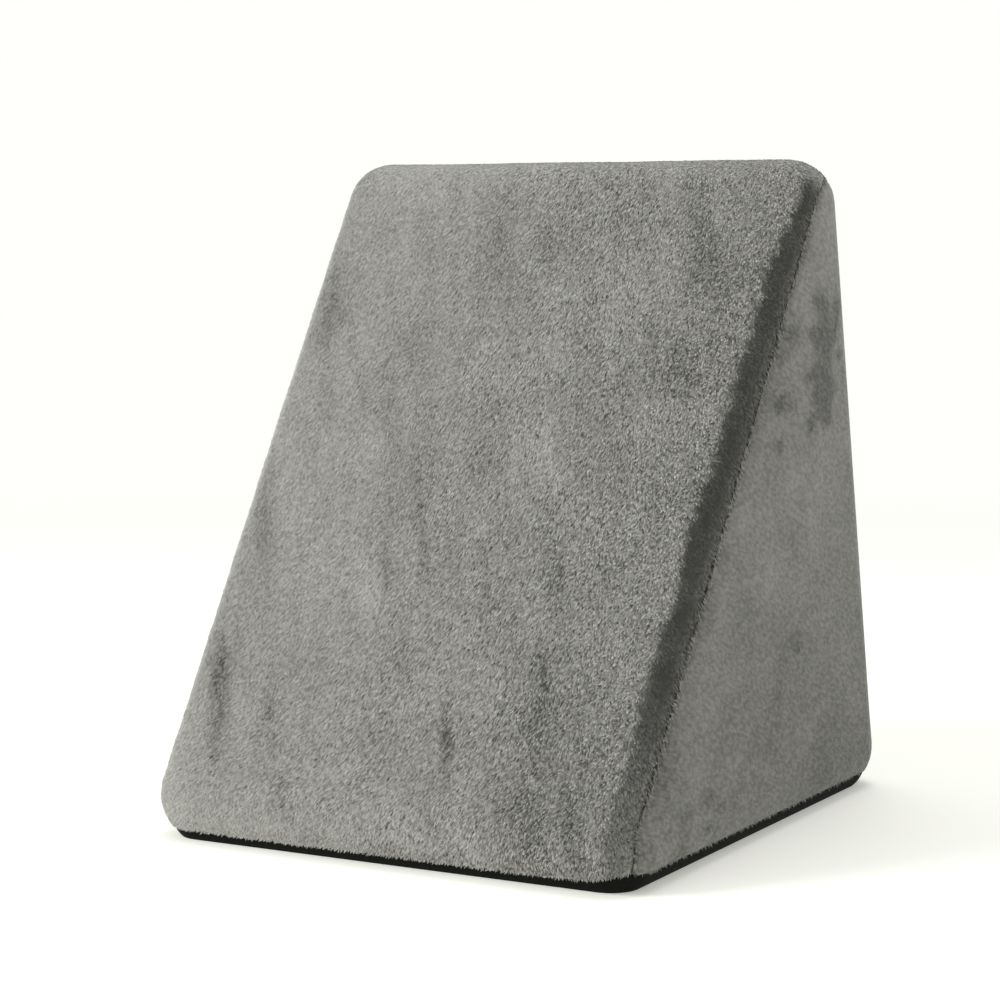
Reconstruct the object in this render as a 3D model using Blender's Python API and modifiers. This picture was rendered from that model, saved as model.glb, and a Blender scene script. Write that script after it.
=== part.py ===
"""Wedge cushion: a filled plush wedge with sewn side panels and a black cloth base panel.

Metres, +Z up. The origin is the middle of the footprint on the floor. The slope faces -Y,
the steep back faces +Y, and the width runs along X.

The filling is shaped like a skin drawn over eight balls, one at each corner: two at the foot
of the slope, two at the foot of the back and four at the top. A point of the cover is found
from a stop, which is a place on the frame through the balls' centres, and from a tilt, which
turns about the rounded side edge: 0 faces as the face does and 90 degrees faces sideways.
"""
import math

import bmesh
import bpy

# Driving sizes of the filled wedge
FOOT_WIDTH = 0.400
TOP_WIDTH = 0.412
DEPTH = 0.460
HEIGHT = 0.496
TOP_DEPTH = 0.082
BACK_LEAN = 0.105
EDGE_RADIUS = 0.036
FOOT_CENTRE_Z = 0.031

# How far the filling pushes out the middle of each face
SLOPE_CROWN = 0.003
BACK_CROWN = 0.003
SIDE_CROWN = 0.003

# Cloth pieces, and the room that each has to its neighbour. Where a panel covers the filling,
# the filling lies deep enough for the thickest cloth, and the hem stays clear of the base panel.
PANEL_THICKNESS = 0.0025
BASE_THICKNESS = 0.002
GAP = 0.0003
CORE_DEPTH = 0.0034
HEM_GAP = 0.001

# Side seam: how far round the edge it lies at the foot, at the top of the slope and at the top
# of the back, where its turn over the top begins and how deep that turn is, and its groove
FOOT_SEAM_TILT = math.radians(54.5)
TOP_SEAM_TILT = math.radians(69)
BACK_SEAM_TILT = math.radians(50)
SEAM_TURN_START = DEPTH / 2 - BACK_LEAN - TOP_DEPTH + EDGE_RADIUS - 0.006
SEAM_TURN_DEPTH = 0.028
GROOVE_DEPTH = 0.002
GROOVE_HALF_TILT = math.radians(12)

# Hem of the plush, the step in from it to the base panel, and how much further out than a true
# round the foot stands where it meets the floor
HEM_Z = 0.0085
BASE_STEP = 0.001
FOOT_FULLNESS = 0.005

# How finely each stretch is divided
RUN_STEPS = 10
FOOT_ARC_STEPS = 3
TOP_ARC_STEPS = 6
TOP_RUN_STEPS = 6
FLAT_STEPS = 10
CORNER_STEPS = 8
PLUSH_SHARES = (0, 0.22, 0.44, 0.63, 0.79, 0.9)
PANEL_SHARES = (0.18, 0.45, 1)

# Middles of the corner balls in the plane of a side, as (y, z)
FRONT_FOOT = (-DEPTH / 2 + EDGE_RADIUS, FOOT_CENTRE_Z)
BACK_FOOT = (DEPTH / 2 - EDGE_RADIUS, FOOT_CENTRE_Z)
FRONT_TOP = (DEPTH / 2 - BACK_LEAN - TOP_DEPTH + EDGE_RADIUS, HEIGHT - EDGE_RADIUS)
BACK_TOP = (DEPTH / 2 - BACK_LEAN - EDGE_RADIUS, HEIGHT - EDGE_RADIUS)

# How far the slope and the back each face upwards, from level
SLOPE_LIFT = math.atan2(FRONT_TOP[0] - FRONT_FOOT[0], FRONT_TOP[1] - FRONT_FOOT[1])
BACK_LIFT = math.atan2(BACK_FOOT[0] - BACK_TOP[0], BACK_TOP[1] - BACK_FOOT[1])

# How far the foot has turned under at the hem, at the floor, and where the filling meets the
# base panel
HEM_DIP = math.asin((FOOT_CENTRE_Z - HEM_Z) / EDGE_RADIUS)
FLOOR_DIP = math.asin(FOOT_CENTRE_Z / (EDGE_RADIUS - BASE_STEP))
CORE_DIP = math.asin((FOOT_CENTRE_Z - BASE_THICKNESS - GAP) / (EDGE_RADIUS - CORE_DEPTH))


def half_width(z):
    """Half of the wedge's width at a height: the top is a little wider than the foot."""
    return (FOOT_WIDTH + (TOP_WIDTH - FOOT_WIDTH) * z / HEIGHT) / 2


def between(a, b, share):
    return (a[0] + (b[0] - a[0]) * share, a[1] + (b[1] - a[1]) * share)


def bump(share):
    """0 at both ends of a run and 1 in its middle, with level ends."""
    return max(0.0, math.sin(math.pi * share)) ** 1.5


def reach_at(radius, dip):
    """How far a round reaches out where it has turned under by a dip. Below the hem it is
    fuller than a true round, because the filling presses the base panel out."""
    under = max(0.0, dip - HEM_DIP) / (FLOOR_DIP - HEM_DIP)
    return radius * math.cos(dip) + FOOT_FULLNESS * under


def stop_at(centre, angle, dip=0.0, crown=0.0, covered=False):
    """A stop on the way over the wedge. The angle is the direction that the face looks in, the
    dip is how far it has turned under at the foot, and the crown is how far it swells. A stop
    that is covered lies under the base panel, so the filling has stepped in there."""
    y, z = centre
    return {"y": y, "z": z, "angle": angle, "dip": dip, "crown": crown, "covered": covered}


def leg(foot, top, lift, crown):
    """The stops from under one foot up to the top of its face, for the slope or the back."""
    stops = []
    for dip in (CORE_DIP, (CORE_DIP + HEM_DIP) / 2, HEM_DIP):
        stops.append(stop_at(foot, 0, dip, covered=True))
    for i in range(FOOT_ARC_STEPS):
        stops.append(stop_at(foot, 0, HEM_DIP * (1 - i / FOOT_ARC_STEPS)))
    for i in range(FOOT_ARC_STEPS):
        stops.append(stop_at(foot, lift * i / FOOT_ARC_STEPS))
    for i in range(RUN_STEPS + 1):
        share = i / RUN_STEPS
        stops.append(stop_at(between(foot, top, share), lift, crown=crown * bump(share)))
    return stops


FRONT_LEG = leg(FRONT_FOOT, FRONT_TOP, SLOPE_LIFT, SLOPE_CROWN)
BACK_LEG = leg(BACK_FOOT, BACK_TOP, BACK_LIFT, BACK_CROWN)
COVERED_STOPS = sum(stop["covered"] for stop in FRONT_LEG)


def way_over(first):
    """Every stop from a front one, over the top and down to the back one that matches it."""
    stops = [dict(stop, angle=math.pi - stop["angle"]) for stop in FRONT_LEG[first:]]
    turn = math.pi / 2 - SLOPE_LIFT
    for i in range(1, TOP_ARC_STEPS + 1):
        stops.append(stop_at(FRONT_TOP, math.pi / 2 + turn * (1 - i / TOP_ARC_STEPS)))
    for i in range(1, TOP_RUN_STEPS + 1):
        stops.append(stop_at(between(FRONT_TOP, BACK_TOP, i / TOP_RUN_STEPS), math.pi / 2))
    turn = math.pi / 2 - BACK_LIFT
    for i in range(1, TOP_ARC_STEPS):
        stops.append(stop_at(BACK_TOP, math.pi / 2 - turn * i / TOP_ARC_STEPS))
    return stops + BACK_LEG[first:][::-1]


def seam_tilt(stop):
    """Tilt of the side seam at a stop. It comes nearer to the face on its way over the top."""
    place = stop["y"] + EDGE_RADIUS * math.cos(stop["angle"])
    over = (place - SEAM_TURN_START) / SEAM_TURN_DEPTH
    top = TOP_SEAM_TILT + (BACK_SEAM_TILT - TOP_SEAM_TILT) * min(1.0, max(0.0, over))
    share = (stop["z"] - FOOT_CENTRE_Z) / (HEIGHT - EDGE_RADIUS - FOOT_CENTRE_Z)
    return FOOT_SEAM_TILT + (top - FOOT_SEAM_TILT) * share


def panel_tilts(stop):
    """Tilts of a side panel's points between its seam and the flat of the side."""
    seam = seam_tilt(stop)
    return [seam + (math.pi / 2 - seam) * share for share in PANEL_SHARES]


def groove(stop, tilt):
    """Depth of the seam's groove at a tilt round the edge."""
    share = min(1.0, abs(tilt - seam_tilt(stop)) / GROOVE_HALF_TILT)
    return GROOVE_DEPTH * (1 - share) ** 2


def plush_depth(stop, tilt):
    """How deep the plush lies under the full round, or the filling where it is covered."""
    return groove(stop, tilt) + (CORE_DEPTH if stop["covered"] else 0)


def edge_point(stop, tilt, depth, side):
    """A point of the rounded side edge, at a depth under the cover's skin."""
    radius = EDGE_RADIUS - depth
    level = reach_at(radius, stop["dip"])
    x = half_width(stop["z"]) - EDGE_RADIUS + level * math.sin(tilt)
    reach = level * math.cos(tilt)
    y = stop["y"] + reach * math.cos(stop["angle"])
    z = stop["z"] + reach * math.sin(stop["angle"]) - radius * math.sin(stop["dip"])
    return (side * x, y, z)


def face_point(stop, across):
    """A point of the flat of a face. Across is -1 and 1 where the rounded edges start."""
    radius = EDGE_RADIUS - plush_depth(stop, 0)
    x = across * (half_width(stop["z"]) - EDGE_RADIUS)
    reach = reach_at(radius, stop["dip"]) + stop["crown"] * (1 - across * across)
    y = stop["y"] + reach * math.cos(stop["angle"])
    z = stop["z"] + reach * math.sin(stop["angle"]) - radius * math.sin(stop["dip"])
    return (x, y, z)


def quads(bm, rows):
    """Faces between each two neighbouring rows of points."""
    for low, high in zip(rows, rows[1:]):
        for i in range(len(low) - 1):
            bm.faces.new((low[i], low[i + 1], high[i + 1], high[i]))


def side_flat(bm, first, depth, side):
    """The flat of a side, between the slope's stops and the back's."""
    rows = []
    for front, back in zip(FRONT_LEG[first:], BACK_LEG[first:]):
        radius = EDGE_RADIUS - depth
        rise = bump((front["z"] - FOOT_CENTRE_Z) / (HEIGHT - EDGE_RADIUS - FOOT_CENTRE_Z))
        row = []
        for i in range(TOP_RUN_STEPS + 1):
            share = i / TOP_RUN_STEPS
            y, z = between((front["y"], front["z"]), (back["y"], back["z"]), share)
            swell = SIDE_CROWN * rise * bump(share)
            x = half_width(z) - EDGE_RADIUS + reach_at(radius, front["dip"]) + swell
            row.append(bm.verts.new((side * x, y, z - radius * math.sin(front["dip"]))))
        rows.append(row)
    quads(bm, rows)


def to_object(bm, name, material, collection):
    """Welds the faces, turns them outwards and links them as a smooth-shaded object."""
    bmesh.ops.remove_doubles(bm, verts=bm.verts, dist=0.00001)
    bmesh.ops.recalc_face_normals(bm, faces=bm.faces)
    mesh = bpy.data.meshes.new(name)
    bm.to_mesh(mesh)
    bm.free()
    mesh.shade_smooth()
    mesh.set_sharp_from_angle(angle=math.radians(40))
    mesh.materials.append(material)
    obj = bpy.data.objects.new(name, mesh)
    collection.objects.link(obj)
    return obj


def cushion_body(material, collection):
    """The filled wedge in its plush main panel, one strip up the slope, over the top and down
    the back, which turns the side edges as far as the seams. Past the seams and below the hem
    the filling steps in, to carry the side panels and the base panel."""
    bm = bmesh.new()
    rows = []
    for stop in way_over(0):
        seam = seam_tilt(stop)
        core = [*panel_tilts(stop)[::-1], seam]
        plush = [seam, *(seam * share for share in PLUSH_SHARES[::-1])]
        left = [edge_point(stop, t, CORE_DEPTH + groove(stop, t), -1) for t in core]
        left += [edge_point(stop, t, plush_depth(stop, t), -1) for t in plush]
        flat = [face_point(stop, 2 * i / FLAT_STEPS - 1) for i in range(1, FLAT_STEPS)]
        right = [(-x, y, z) for x, y, z in left[::-1]]
        rows.append([bm.verts.new(p) for p in left + flat + right])
    quads(bm, rows)
    for side in (-1, 1):
        side_flat(bm, 0, CORE_DEPTH, side)
    bmesh.ops.remove_doubles(bm, verts=bm.verts, dist=0.00001)
    bmesh.ops.holes_fill(bm, edges=[e for e in bm.edges if e.is_boundary], sides=0)
    return to_object(bm, "cushion_body", material, collection)


def thicken(obj, thickness, outer_face):
    """Gives an open sheet its cloth's thickness on the inside of the face that looks outwards.
    That face is named because an open sheet's normals may point either way."""
    face, outward = outer_face
    if obj.data.polygons[face].normal.dot(outward) < 0:
        obj.data.flip_normals()
    shell = obj.modifiers.new("cloth", "SOLIDIFY")
    shell.thickness = thickness
    shell.offset = -1
    shell.use_even_offset = True


def side_panel(name, side, material, collection):
    """The velour panel sewn into one side, from its seam on the rounded edge down to the hem."""
    bm = bmesh.new()
    rows = []
    for stop in way_over(COVERED_STOPS):
        tilts = [seam_tilt(stop) + GAP / EDGE_RADIUS, *panel_tilts(stop)]
        rows.append([bm.verts.new(edge_point(stop, t, groove(stop, t), side)) for t in tilts])
    quads(bm, rows)
    side_flat(bm, COVERED_STOPS, 0, side)
    panel = to_object(bm, name, material, collection)
    thicken(panel, PANEL_THICKNESS, outer_face=(-1, (side, 0, 0)))
    return panel


def base_outline(dip):
    """The base panel's outline as a loop of points, where its edge has turned under by a dip."""
    radius = EDGE_RADIUS - BASE_STEP
    corner_x = half_width(FOOT_CENTRE_Z) - EDGE_RADIUS
    z = FOOT_CENTRE_Z - radius * math.sin(dip)
    reach = reach_at(radius, dip)
    points = []
    for quarter, (sx, sy) in enumerate(((1, 1), (-1, 1), (-1, -1), (1, -1))):
        for i in range(CORNER_STEPS + 1):
            turn = math.pi / 2 * (quarter + i / CORNER_STEPS)
            x = sx * corner_x + reach * math.cos(turn)
            points.append((x, sy * BACK_FOOT[0] + reach * math.sin(turn), z))
    return points


def base_panel(material, collection):
    """The black base panel: a flat cloth under the wedge with its edge turned up to the hem."""
    rim_dip = HEM_DIP + HEM_GAP / (EDGE_RADIUS - BASE_STEP)
    bm = bmesh.new()
    loops = []
    for i in range(FOOT_ARC_STEPS + 1):
        dip = FLOOR_DIP + (rim_dip - FLOOR_DIP) * i / FOOT_ARC_STEPS
        loops.append([bm.verts.new(p) for p in base_outline(dip)])
    bm.faces.new(loops[0])
    quads(bm, [loop + loop[:1] for loop in loops])
    panel = to_object(bm, "base_panel", material, collection)
    thicken(panel, BASE_THICKNESS, outer_face=(0, (0, 0, -1)))
    return panel


def cloth_material(name, colour, roughness):
    made = bpy.data.materials.new(name)
    made.use_nodes = True
    shader = made.node_tree.nodes["Principled BSDF"]
    shader.inputs["Base Color"].default_value = (*colour, 1.0)
    shader.inputs["Roughness"].default_value = roughness
    shader.inputs["Metallic"].default_value = 0.0
    return made


def build():
    for obj in list(bpy.data.objects):
        bpy.data.objects.remove(obj)
    wedge = bpy.data.collections.new("wedge_pillow")
    bpy.context.scene.collection.children.link(wedge)
    plush = cloth_material("grey_plush", (0.235, 0.232, 0.222), 0.95)
    velour = cloth_material("grey_velour", (0.205, 0.200, 0.190), 0.9)
    black = cloth_material("black_base_cloth", (0.010, 0.011, 0.010), 0.85)
    cushion_body(plush, wedge)
    side_panel("side_panel_left", -1, velour, wedge)
    side_panel("side_panel_right", 1, velour, wedge)
    base_panel(black, wedge)


build()
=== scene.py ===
# %% [markdown]
# A wedge pillow is a block of foam in a sewn cover. One long plush panel runs up the slope, over
# the top and down the back, two smooth velour panels close the sides, and a black cloth closes
# the foot. This lesson dresses the plain solids of that pillow: it starts by loading them as a
# fixed frame, so that every piece made later lies where the solids are.

import math

import bmesh
import bpy
import numpy as np
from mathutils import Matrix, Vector


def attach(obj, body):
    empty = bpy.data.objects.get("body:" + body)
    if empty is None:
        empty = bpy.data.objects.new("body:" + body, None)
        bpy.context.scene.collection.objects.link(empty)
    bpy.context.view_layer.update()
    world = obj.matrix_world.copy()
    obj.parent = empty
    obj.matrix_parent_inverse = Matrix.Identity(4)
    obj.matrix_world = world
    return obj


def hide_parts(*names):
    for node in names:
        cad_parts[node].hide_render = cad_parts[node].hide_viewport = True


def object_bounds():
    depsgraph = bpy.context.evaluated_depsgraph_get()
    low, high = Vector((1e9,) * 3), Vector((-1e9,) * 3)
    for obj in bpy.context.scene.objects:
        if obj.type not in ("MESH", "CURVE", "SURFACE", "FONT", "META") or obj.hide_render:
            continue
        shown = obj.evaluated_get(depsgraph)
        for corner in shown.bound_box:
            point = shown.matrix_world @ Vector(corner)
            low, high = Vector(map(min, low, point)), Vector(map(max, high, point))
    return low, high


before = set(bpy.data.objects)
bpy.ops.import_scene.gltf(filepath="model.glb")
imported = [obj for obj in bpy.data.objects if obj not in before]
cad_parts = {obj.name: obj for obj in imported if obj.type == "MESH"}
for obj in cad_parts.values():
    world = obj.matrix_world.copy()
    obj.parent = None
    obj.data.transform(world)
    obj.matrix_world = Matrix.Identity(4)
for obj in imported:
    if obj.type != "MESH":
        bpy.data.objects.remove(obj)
cad_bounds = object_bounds()
scene = bpy.context.scene
print("solids:", sorted(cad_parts), "box:", [[round(n, 4) for n in corner] for corner in cad_bounds])

# %% [markdown]
# The pillow's outline is a skin drawn over eight balls, one at each corner of the foam. The
# overall sizes come from the frame, and the rest are a maker's own measures in metres. Naming
# them once lets the cover, the pile and the side panels all be worked out from the same form.

# %% Name the pillow's sizes
DEPTH = cad_bounds[1][1] - cad_bounds[0][1]
HEIGHT = cad_bounds[1][2]
FOOT_WIDTH = 0.400
TOP_WIDTH = 0.412
TOP_DEPTH = 0.082
BACK_LEAN = 0.105
ROUND = 0.036
FOOT_CENTRE_Z = 0.031
HEM_Z = 0.0085
CROWN = 0.003
FOOT_SEAM_TILT = math.radians(54.5)
TOP_SEAM_TILT = math.radians(69)
BACK_SEAM_TILT = math.radians(50)
SEAM_TURN_DEPTH = 0.028

FRONT_FOOT = (-DEPTH / 2 + ROUND, FOOT_CENTRE_Z)
BACK_FOOT = (DEPTH / 2 - ROUND, FOOT_CENTRE_Z)
FRONT_TOP = (DEPTH / 2 - BACK_LEAN - TOP_DEPTH + ROUND, HEIGHT - ROUND)
BACK_TOP = (DEPTH / 2 - BACK_LEAN - ROUND, HEIGHT - ROUND)
SLOPE_LIFT = math.atan2(FRONT_TOP[0] - FRONT_FOOT[0], FRONT_TOP[1] - FRONT_FOOT[1])
BACK_LIFT = math.atan2(BACK_FOOT[0] - BACK_TOP[0], BACK_TOP[1] - BACK_FOOT[1])
SEAM_TURN_START = FRONT_TOP[0] - 0.006
HEM_DIP = math.asin((FOOT_CENTRE_Z - HEM_Z) / ROUND)
BASE_STEP = 0.001
FLOOR_DIP = math.asin(FOOT_CENTRE_Z / (ROUND - BASE_STEP))
FOOT_FULLNESS = 0.005
print("slope faces", round(math.degrees(SLOPE_LIFT), 1), "degrees above level")

# %% [markdown]
# The photo is taken from a little above the pillow's middle and from its right. A camera is
# placed by its distance and its two angles, with a long lens so that the upright edges stay
# nearly parallel.

# %% Set up the camera
CAMERA_PLACE = (0.9697, -1.8081, 0.4424)
CAMERA_TURN = math.radians(28.89)
CAMERA_DIP = math.radians(5.67)
LENS_MM = 97.3


def add_camera():
    lens = bpy.data.cameras.new("camera")
    lens.lens = LENS_MM
    lens.sensor_width = 36
    lens.clip_start = 0.01
    camera = bpy.data.objects.new("camera", lens)
    camera.location = CAMERA_PLACE
    camera.rotation_euler = (math.pi / 2 - CAMERA_DIP, 0, CAMERA_TURN)
    scene.collection.objects.link(camera)
    scene.camera = camera


add_camera()
print("lens:", LENS_MM, "mm, from", round(math.hypot(*CAMERA_PLACE), 2), "m away")

# %% [markdown]
# The studio is a white sweep. Near the pillow the floor is bright paper that takes a pale shadow,
# and further off it turns into plain light, so that no line shows where it meets the sky. The
# sky is white to the camera and dimmer as a light, and a wide lamp from the left and the front
# gives the soft direction that makes the pile show.

# %% Build the studio
WHITE = (1.0, 1.0, 0.965, 1.0)
PAPER = (0.93, 0.935, 0.885)
SKY_LIGHT = 0.52
PAPER_GLOW = 0.32
NEAR_FLOOR = 1.0
FAR_FLOOR = 2.8


def wire(tree, source, target):
    tree.links.new(source, target)


def add_node(tree, kind, **settings):
    """A node of a kind, with its properties set by name."""
    made = tree.nodes.new(kind)
    for name, value in settings.items():
        setattr(made, name, value)
    return made


def add_sky():
    sky = bpy.data.worlds.new("studio sky")
    sky.use_nodes = True
    tree = sky.node_tree
    tree.nodes.clear()
    seen = add_node(tree, "ShaderNodeBackground")
    seen.inputs["Color"].default_value = WHITE
    cast = add_node(tree, "ShaderNodeBackground")
    cast.inputs["Color"].default_value = WHITE
    cast.inputs["Strength"].default_value = SKY_LIGHT
    path = add_node(tree, "ShaderNodeLightPath")
    pick = add_node(tree, "ShaderNodeMixShader")
    out = add_node(tree, "ShaderNodeOutputWorld")
    wire(tree, path.outputs["Is Camera Ray"], pick.inputs[0])
    wire(tree, cast.outputs[0], pick.inputs[1])
    wire(tree, seen.outputs[0], pick.inputs[2])
    wire(tree, pick.outputs[0], out.inputs["Surface"])
    scene.world = sky


def paper_material():
    """Bright paper near the pillow that turns into plain white light further off."""
    paper = bpy.data.materials.new("white paper")
    paper.use_nodes = True
    tree = paper.node_tree
    tree.nodes.clear()
    matt = add_node(tree, "ShaderNodeBsdfDiffuse")
    matt.inputs["Color"].default_value = (*PAPER, 1.0)
    glow = add_node(tree, "ShaderNodeEmission")
    glow.inputs["Color"].default_value = (*PAPER, 1.0)
    glow.inputs["Strength"].default_value = PAPER_GLOW
    near = add_node(tree, "ShaderNodeAddShader")
    wire(tree, glow.outputs[0], near.inputs[0])
    wire(tree, matt.outputs[0], near.inputs[1])
    far = add_node(tree, "ShaderNodeEmission")
    far.inputs["Color"].default_value = WHITE
    place = add_node(tree, "ShaderNodeTexCoord")
    distance = add_node(tree, "ShaderNodeVectorMath", operation="LENGTH")
    wire(tree, place.outputs["Object"], distance.inputs[0])
    share = add_node(tree, "ShaderNodeMapRange", interpolation_type="SMOOTHSTEP")
    share.inputs["From Min"].default_value = NEAR_FLOOR
    share.inputs["From Max"].default_value = FAR_FLOOR
    wire(tree, distance.outputs["Value"], share.inputs["Value"])
    both = add_node(tree, "ShaderNodeMixShader")
    out = add_node(tree, "ShaderNodeOutputMaterial")
    wire(tree, share.outputs[0], both.inputs[0])
    wire(tree, near.outputs[0], both.inputs[1])
    wire(tree, far.outputs[0], both.inputs[2])
    wire(tree, both.outputs[0], out.inputs["Surface"])
    return paper


def add_floor():
    sheet = bpy.data.meshes.new("floor")
    reach = 12.0
    sheet.from_pydata([(-reach, -reach, 0), (reach, -reach, 0), (reach, reach, 0), (-reach, reach, 0)],
                      [], [(0, 1, 2, 3)])
    sheet.materials.append(paper_material())
    floor = bpy.data.objects.new("floor", sheet)
    scene.collection.objects.link(floor)


def add_lamp(name, place, aim, size, watts):
    """A square soft lamp at a place, turned to face a point."""
    lamp = bpy.data.lights.new(name, "AREA")
    lamp.size = size
    lamp.energy = watts
    holder = bpy.data.objects.new(name, lamp)
    holder.location = place
    way = [a - p for a, p in zip(aim, place)]
    holder.rotation_euler = Vector(way).to_track_quat("-Z", "Y").to_euler()
    scene.collection.objects.link(holder)


scene.view_settings.view_transform = "Standard"
add_sky()
add_floor()
add_lamp("key lamp", (-1.9, -1.9, 1.7), (0, 0, 0.2), 1.1, 52)
add_lamp("top lamp", (0.1, 0.4, 2.6), (0, 0, 0.3), 1.3, 20)
print("lamps:", sorted(lamp.name for lamp in bpy.data.lights))

# %% [markdown]
# Every piece of the cover lies on the same form, so the form is one function. A point of the
# skin is named by how far it lies along the plush panel, from the front hem over the top to the
# back hem, and by how far it lies across from the middle. Tables of the panel's stretches turn
# those two lengths into a place, which lets pile and cloth be laid out flat as a maker would.

# %% Describe the skin
HEM_TAIL = 0.010
SLOPE_RUN = math.dist(FRONT_FOOT, FRONT_TOP)
TOP_RUN = math.dist(FRONT_TOP, BACK_TOP)
BACK_RUN = math.dist(BACK_TOP, BACK_FOOT)
TAIL_DIP = HEM_DIP + HEM_TAIL / ROUND

# Each row: length of the stretch, then the ball's place, the facing and the dip at its end
STRETCHES = [
    (0.0, FRONT_FOOT, math.pi, TAIL_DIP),
    (ROUND * TAIL_DIP, FRONT_FOOT, math.pi, 0),
    (ROUND * SLOPE_LIFT, FRONT_FOOT, math.pi - SLOPE_LIFT, 0),
    (SLOPE_RUN, FRONT_TOP, math.pi - SLOPE_LIFT, 0),
    (ROUND * (math.pi / 2 - SLOPE_LIFT), FRONT_TOP, math.pi / 2, 0),
    (TOP_RUN, BACK_TOP, math.pi / 2, 0),
    (ROUND * (math.pi / 2 - BACK_LIFT), BACK_TOP, BACK_LIFT, 0),
    (BACK_RUN, BACK_FOOT, BACK_LIFT, 0),
    (ROUND * BACK_LIFT, BACK_FOOT, 0, 0),
    (ROUND * TAIL_DIP, BACK_FOOT, 0, TAIL_DIP),
]
REACHED = np.cumsum([row[0] for row in STRETCHES]) - HEM_TAIL
BALL_Y = [row[1][0] for row in STRETCHES]
BALL_Z = [row[1][1] for row in STRETCHES]
FACING = [row[2] for row in STRETCHES]
DIP = [row[3] for row in STRETCHES]
PANEL_LENGTH = REACHED[-1] - HEM_TAIL
SLOPE_START, SLOPE_END = REACHED[2], REACHED[3]
TOP_START, TOP_END = REACHED[4], REACHED[5]
BACK_START, BACK_END = REACHED[6], REACHED[7]


def half_flat(z):
    """Half the width of the flat between the rounded edges, at a height."""
    return (FOOT_WIDTH + (TOP_WIDTH - FOOT_WIDTH) * z / HEIGHT) / 2 - ROUND


def swell(share):
    """How a stretch bulges: 0 at its ends and 1 in its middle."""
    return np.sin(np.pi * np.clip(share, 0, 1)).clip(0) ** 1.5


def seam_tilt(along):
    """How far round the edge the side seam lies: furthest at the top of the slope."""
    place = np.interp(along, REACHED, BALL_Y) + ROUND * np.cos(np.interp(along, REACHED, FACING))
    over = ((place - SEAM_TURN_START) / SEAM_TURN_DEPTH).clip(0, 1)
    top = TOP_SEAM_TILT + (BACK_SEAM_TILT - TOP_SEAM_TILT) * over
    rise = (np.interp(along, REACHED, BALL_Z) - FOOT_CENTRE_Z) / (HEIGHT - ROUND - FOOT_CENTRE_Z)
    return FOOT_SEAM_TILT + (top - FOOT_SEAM_TILT) * rise


def seam_across(along):
    """How far from the middle the side seam lies, measured over the skin."""
    return half_flat(np.interp(along, REACHED, BALL_Z)) + ROUND * seam_tilt(along)


print("plush panel, hem to hem:", round(PANEL_LENGTH, 3), "m")

# %% [markdown]
# On the right side the hem sits a few millimetres higher than elsewhere, most at the front
# corner, and shows more of the black cloth. The lift slides points up the round foot and keeps
# them on its curve, as cloth slides over foam, so that the hem doesn't lean out.

# %% Draw up the right hem
SIDE_HEM_LIFT = 0.0055
CORNER_LIFT = 0.0025
CORNER_REACH = 0.022
LIFTED_HEIGHT = 0.055


def draw_up(points, weight=1.0):
    """Draws the right hem up a little, most at the front corner, as the photo shows it."""
    x, y, z = np.moveaxis(points, -1, 0)
    middle_x = half_flat(FOOT_CENTRE_Z)
    axis_x, axis_y = x.clip(-middle_x, middle_x), y.clip(FRONT_FOOT[0], BACK_FOOT[0])
    corner_x, corner_y = middle_x + ROUND * 0.5, FRONT_FOOT[0] - ROUND * 0.7
    away = np.hypot(x - corner_x, y - corner_y) / CORNER_REACH
    on_side = ((x - middle_x) / ROUND).clip(0, 1)
    fade = ((LIFTED_HEIGHT - z) / (LIFTED_HEIGHT - HEM_Z)).clip(0, 1)
    raised = z + (SIDE_HEM_LIFT * on_side + CORNER_LIFT * np.exp(-away ** 2)) * fade * weight
    wide = np.sqrt(ROUND ** 2 - (FOOT_CENTRE_Z - raised).clip(0) ** 2)
    narrow = np.sqrt(ROUND ** 2 - (FOOT_CENTRE_Z - z).clip(0) ** 2)
    grown = wide / narrow
    return np.stack([axis_x + (x - axis_x) * grown, axis_y + (y - axis_y) * grown, raised], axis=-1)


print("most lift of the hem:", round(1000 * (SIDE_HEM_LIFT + CORNER_LIFT), 1), "mm")

# %% [markdown]
# Now the two lengths can be turned into a place. The tables give the ball, the way it faces and
# how far the panel has dipped under the foot. What is left over past the flat goes round the
# edge, and a slight crown keeps the slope and the back from looking like boards.

# %% Carry lengths onto the skin


def even_skin(along, across, lift=0.0):
    """Points of the skin for arrays of lengths along and across, raised by a lift."""
    ball_y = np.interp(along, REACHED, BALL_Y)
    ball_z = np.interp(along, REACHED, BALL_Z)
    facing = np.interp(along, REACHED, FACING)
    dip = np.interp(along, REACHED, DIP)
    flat = half_flat(ball_z)
    tilt = (np.abs(across) - flat).clip(0) / ROUND
    radius = ROUND + lift
    level = radius * np.cos(dip)
    bulge = swell((along - SLOPE_START) / (SLOPE_END - SLOPE_START))
    bulge = bulge + swell((along - BACK_START) / (BACK_END - BACK_START))
    share = np.clip(across / flat, -1, 1)
    reach = level * np.cos(tilt) + CROWN * bulge * (1 - share ** 2)
    x = np.sign(across) * (np.minimum(np.abs(across), flat) + level * np.sin(tilt))
    y = ball_y + reach * np.cos(facing)
    z = ball_z + reach * np.sin(facing) - radius * np.sin(dip)
    return np.stack([x, y, z], axis=-1)


def skin(along, across, lift=0.0):
    """The same points with the hem drawn up at the front right corner."""
    return draw_up(even_skin(along, across, lift))


middle_of_top = skin(np.array([(TOP_START + TOP_END) / 2]), np.array([0.0]))[0]
print("middle of the top is", round(float(middle_of_top[2]), 3), "m high")

# %% [markdown]
# Cloth is never quite even. A soft noise, made by smoothing a table of random numbers, gives the
# slow waves of the cover and the swirls of its nap. The random numbers are seeded, so every run
# makes the same pillow.

# %% Make a soft noise
LATTICE = 256


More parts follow.
